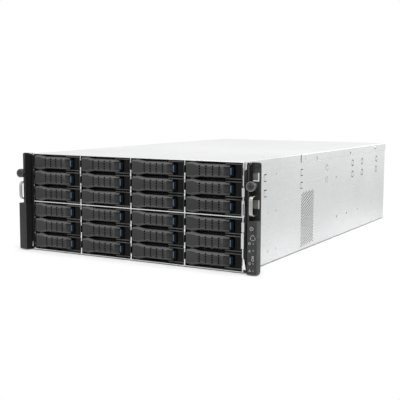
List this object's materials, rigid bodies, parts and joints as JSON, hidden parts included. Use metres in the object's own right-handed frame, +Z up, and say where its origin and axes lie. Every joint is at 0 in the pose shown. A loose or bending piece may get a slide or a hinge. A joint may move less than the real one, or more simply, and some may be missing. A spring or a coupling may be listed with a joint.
{
  "type": "rackmount server chassis",
  "caption": "Flat steel rackmount server chassis with a grid of slide-out drive trays at the front, rack ears with handles and thumbscrews, and a sliding top cover.",
  "frame": {"origin": "on the centreline of the underside, in the plane where the ears bear on the rack posts", "axes": "+X to the right as seen from the front, +Y to the back, +Z up"},
  "size_m": [0.4826, 0.7928, 0.176],
  "materials": {
    "zinc_steel": "satin zinc plate",
    "screw_steel": "satin",
    "black_steel": "fine powder coat",
    "black_plastic": "fine grain",
    "tray_plastic": "fine grain",
    "latch_blue": "semi gloss",
    "handle_metal": "satin",
    "button_plastic": "satin",
    "clear_plastic": "clear",
    "circuit_board": "semi gloss",
    "fan_plastic": "satin",
    "brass": "satin",
    "supply_steel": "satin"
  },
  "bodies": {
    "chassis": {"chassis_base": "zinc_steel", "front_top_panel": "zinc_steel", "bay_dividers": "zinc_steel", "bay_mid_shelf": "zinc_steel", "drive_backplane": "circuit_board", "fan_wall": "zinc_steel", "fan_frames": "fan_plastic", "rear_panel": "zinc_steel", "slot_covers": "zinc_steel", "board_standoffs": "brass", "power_supply_cage": "zinc_steel", "ear_bracket_left": "black_steel", "ear_bracket_right": "black_steel", "ear_cover_left": "black_plastic", "ear_cover_right": "black_plastic", "pull_handles": "handle_metal", "indicator_lights": "clear_plastic"},
    "top_cover": {"top_cover": "zinc_steel", "cover_screws": "screw_steel"},
    "tray_row1_column1": {"drive_tray_row1_column1": "tray_plastic"},
    "lever_row1_column1": {"tray_lever_row1_column1": "tray_plastic"},
    "latch_row1_column1": {"tray_latch_row1_column1": "latch_blue"},
    "tray_row1_column2": {"drive_tray_row1_column2": "tray_plastic"},
    "lever_row1_column2": {"tray_lever_row1_column2": "tray_plastic"},
    "latch_row1_column2": {"tray_latch_row1_column2": "latch_blue"},
    "tray_row1_column3": {"drive_tray_row1_column3": "tray_plastic"},
    "lever_row1_column3": {"tray_lever_row1_column3": "tray_plastic"},
    "latch_row1_column3": {"tray_latch_row1_column3": "latch_blue"},
    "tray_row1_column4": {"drive_tray_row1_column4": "tray_plastic"},
    "lever_row1_column4": {"tray_lever_row1_column4": "tray_plastic"},
    "latch_row1_column4": {"tray_latch_row1_column4": "latch_blue"},
    "tray_row2_column1": {"drive_tray_row2_column1": "tray_plastic"},
    "tray_row2_column2": {"drive_tray_row2_column2": "tray_plastic"},
    "tray_row2_column3": {"drive_tray_row2_column3": "tray_plastic"},
    "tray_row2_column4": {"drive_tray_row2_column4": "tray_plastic"},
    "tray_row3_column1": {"drive_tray_row3_column1": "tray_plastic"},
    "tray_row3_column2": {"drive_tray_row3_column2": "tray_plastic"},
    "tray_row3_column3": {"drive_tray_row3_column3": "tray_plastic"},
    "tray_row3_column4": {"drive_tray_row3_column4": "tray_plastic"},
    "tray_row4_column1": {"drive_tray_row4_column1": "tray_plastic"},
    "tray_row4_column2": {"drive_tray_row4_column2": "tray_plastic"},
    "tray_row4_column3": {"drive_tray_row4_column3": "tray_plastic"},
    "tray_row4_column4": {"drive_tray_row4_column4": "tray_plastic"},
    "tray_row5_column1": {"drive_tray_row5_column1": "tray_plastic"},
    "tray_row5_column2": {"drive_tray_row5_column2": "tray_plastic"},
    "tray_row5_column3": {"drive_tray_row5_column3": "tray_plastic"},
    "tray_row5_column4": {"drive_tray_row5_column4": "tray_plastic"},
    "tray_row6_column1": {"drive_tray_row6_column1": "tray_plastic"},
    "tray_row6_column2": {"drive_tray_row6_column2": "tray_plastic"},
    "tray_row6_column3": {"drive_tray_row6_column3": "tray_plastic"},
    "tray_row6_column4": {"drive_tray_row6_column4": "tray_plastic"},
    "fan_rotor_1": {"fan_rotor_1": "fan_plastic"},
    "fan_rotor_2": {"fan_rotor_2": "fan_plastic"},
    "fan_rotor_3": {"fan_rotor_3": "fan_plastic"},
    "thumbscrew_right": {"thumbscrew_right": "black_plastic"},
    "thumbscrew_left": {"thumbscrew_left": "black_plastic"},
    "power_button": {"power_button": "button_plastic"},
    "reset_button": {"reset_button": "button_plastic"},
    "power_supply_lower": {"power_supply_lower": "supply_steel"},
    "power_supply_upper": {"power_supply_upper": "supply_steel"}
  },
  "joints": [
    {"name": "cover_slide", "type": "slide", "parent": "chassis", "child": "top_cover", "axis": [0, 1, 0], "range_m": [0, 0.52]},
    {"name": "tray_slide_row1_column1", "type": "slide", "parent": "chassis", "child": "tray_row1_column1", "axis": [0, -1, 0], "range_m": [0, 0.185]},
    {"name": "lever_swing_row1_column1", "type": "hinge", "parent": "tray_row1_column1", "child": "lever_row1_column1", "pos_m": [-0.207, -0.003, 0.1604], "axis": [0, 0, -1], "range_deg": [0, 55]},
    {"name": "latch_press_row1_column1", "type": "slide", "parent": "tray_row1_column1", "child": "latch_row1_column1", "axis": [1, 0, 0], "range_m": [0, 0.0024], "stiffness_N_per_m": 400},
    {"name": "tray_slide_row1_column2", "type": "slide", "parent": "chassis", "child": "tray_row1_column2", "axis": [0, -1, 0], "range_m": [0, 0.185]},
    {"name": "lever_swing_row1_column2", "type": "hinge", "parent": "tray_row1_column2", "child": "lever_row1_column2", "pos_m": [-0.1008, -0.003, 0.1604], "axis": [0, 0, -1], "range_deg": [0, 55]},
    {"name": "latch_press_row1_column2", "type": "slide", "parent": "tray_row1_column2", "child": "latch_row1_column2", "axis": [1, 0, 0], "range_m": [0, 0.0024], "stiffness_N_per_m": 400},
    {"name": "tray_slide_row1_column3", "type": "slide", "parent": "chassis", "child": "tray_row1_column3", "axis": [0, -1, 0], "range_m": [0, 0.185]},
    {"name": "lever_swing_row1_column3", "type": "hinge", "parent": "tray_row1_column3", "child": "lever_row1_column3", "pos_m": [0.0054, -0.003, 0.1604], "axis": [0, 0, -1], "range_deg": [0, 55]},
    {"name": "latch_press_row1_column3", "type": "slide", "parent": "tray_row1_column3", "child": "latch_row1_column3", "axis": [1, 0, 0], "range_m": [0, 0.0024], "stiffness_N_per_m": 400},
    {"name": "tray_slide_row1_column4", "type": "slide", "parent": "chassis", "child": "tray_row1_column4", "axis": [0, -1, 0], "range_m": [0, 0.185]},
    {"name": "lever_swing_row1_column4", "type": "hinge", "parent": "tray_row1_column4", "child": "lever_row1_column4", "pos_m": [0.1116, -0.003, 0.1604], "axis": [0, 0, -1], "range_deg": [0, 55]},
    {"name": "latch_press_row1_column4", "type": "slide", "parent": "tray_row1_column4", "child": "latch_row1_column4", "axis": [1, 0, 0], "range_m": [0, 0.0024], "stiffness_N_per_m": 400},
    {"name": "tray_slide_row2_column1", "type": "slide", "parent": "chassis", "child": "tray_row2_column1", "axis": [0, -1, 0], "range_m": [0, 0.185]},
    {"name": "tray_slide_row2_column2", "type": "slide", "parent": "chassis", "child": "tray_row2_column2", "axis": [0, -1, 0], "range_m": [0, 0.185]},
    {"name": "tray_slide_row2_column3", "type": "slide", "parent": "chassis", "child": "tray_row2_column3", "axis": [0, -1, 0], "range_m": [0, 0.185]},
    {"name": "tray_slide_row2_column4", "type": "slide", "parent": "chassis", "child": "tray_row2_column4", "axis": [0, -1, 0], "range_m": [0, 0.185]},
    {"name": "tray_slide_row3_column1", "type": "slide", "parent": "chassis", "child": "tray_row3_column1", "axis": [0, -1, 0], "range_m": [0, 0.185]},
    {"name": "tray_slide_row3_column2", "type": "slide", "parent": "chassis", "child": "tray_row3_column2", "axis": [0, -1, 0], "range_m": [0, 0.185]},
    {"name": "tray_slide_row3_column3", "type": "slide", "parent": "chassis", "child": "tray_row3_column3", "axis": [0, -1, 0], "range_m": [0, 0.185]},
    {"name": "tray_slide_row3_column4", "type": "slide", "parent": "chassis", "child": "tray_row3_column4", "axis": [0, -1, 0], "range_m": [0, 0.185]},
    {"name": "tray_slide_row4_column1", "type": "slide", "parent": "chassis", "child": "tray_row4_column1", "axis": [0, -1, 0], "range_m": [0, 0.185]},
    {"name": "tray_slide_row4_column2", "type": "slide", "parent": "chassis", "child": "tray_row4_column2", "axis": [0, -1, 0], "range_m": [0, 0.185]},
    {"name": "tray_slide_row4_column3", "type": "slide", "parent": "chassis", "child": "tray_row4_column3", "axis": [0, -1, 0], "range_m": [0, 0.185]},
    {"name": "tray_slide_row4_column4", "type": "slide", "parent": "chassis", "child": "tray_row4_column4", "axis": [0, -1, 0], "range_m": [0, 0.185]},
    {"name": "tray_slide_row5_column1", "type": "slide", "parent": "chassis", "child": "tray_row5_column1", "axis": [0, -1, 0], "range_m": [0, 0.185]},
    {"name": "tray_slide_row5_column2", "type": "slide", "parent": "chassis", "child": "tray_row5_column2", "axis": [0, -1, 0], "range_m": [0, 0.185]},
    {"name": "tray_slide_row5_column3", "type": "slide", "parent": "chassis", "child": "tray_row5_column3", "axis": [0, -1, 0], "range_m": [0, 0.185]},
    {"name": "tray_slide_row5_column4", "type": "slide", "parent": "chassis", "child": "tray_row5_column4", "axis": [0, -1, 0], "range_m": [0, 0.185]},
    {"name": "tray_slide_row6_column1", "type": "slide", "parent": "chassis", "child": "tray_row6_column1", "axis": [0, -1, 0], "range_m": [0, 0.185]},
    {"name": "tray_slide_row6_column2", "type": "slide", "parent": "chassis", "child": "tray_row6_column2", "axis": [0, -1, 0], "range_m": [0, 0.185]},
    {"name": "tray_slide_row6_column3", "type": "slide", "parent": "chassis", "child": "tray_row6_column3", "axis": [0, -1, 0], "range_m": [0, 0.185]},
    {"name": "tray_slide_row6_column4", "type": "slide", "parent": "chassis", "child": "tray_row6_column4", "axis": [0, -1, 0], "range_m": [0, 0.185]},
    {"name": "fan_spin_1", "type": "hinge", "parent": "chassis", "child": "fan_rotor_1", "pos_m": [-0.132, 0.3398, 0.0615], "axis": [0, 1, 0], "continuous": true},
    {"name": "fan_spin_2", "type": "hinge", "parent": "chassis", "child": "fan_rotor_2", "pos_m": [0, 0.3398, 0.0615], "axis": [0, 1, 0], "continuous": true},
    {"name": "fan_spin_3", "type": "hinge", "parent": "chassis", "child": "fan_rotor_3", "pos_m": [0.132, 0.3398, 0.0615], "axis": [0, 1, 0], "continuous": true},
    {"name": "thumbscrew_turn_right", "type": "hinge", "parent": "chassis", "child": "thumbscrew_right", "pos_m": [0.23255, -0.002, 0.1397], "axis": [0, 1, 0], "continuous": true},
    {"name": "thumbscrew_turn_left", "type": "hinge", "parent": "chassis", "child": "thumbscrew_left", "pos_m": [-0.23255, -0.002, 0.1397], "axis": [0, 1, 0], "continuous": true},
    {"name": "power_button_press", "type": "slide", "parent": "chassis", "child": "power_button", "axis": [0, 1, 0], "range_m": [0, 0.0012], "stiffness_N_per_m": 400},
    {"name": "reset_button_press", "type": "slide", "parent": "chassis", "child": "reset_button", "axis": [0, 1, 0], "range_m": [0, 0.0012], "stiffness_N_per_m": 400},
    {"name": "power_supply_lower_slide", "type": "slide", "parent": "chassis", "child": "power_supply_lower", "axis": [0, 1, 0], "range_m": [0, 0.19]},
    {"name": "power_supply_upper_slide", "type": "slide", "parent": "chassis", "child": "power_supply_upper", "axis": [0, 1, 0], "range_m": [0, 0.19]}
  ]
}
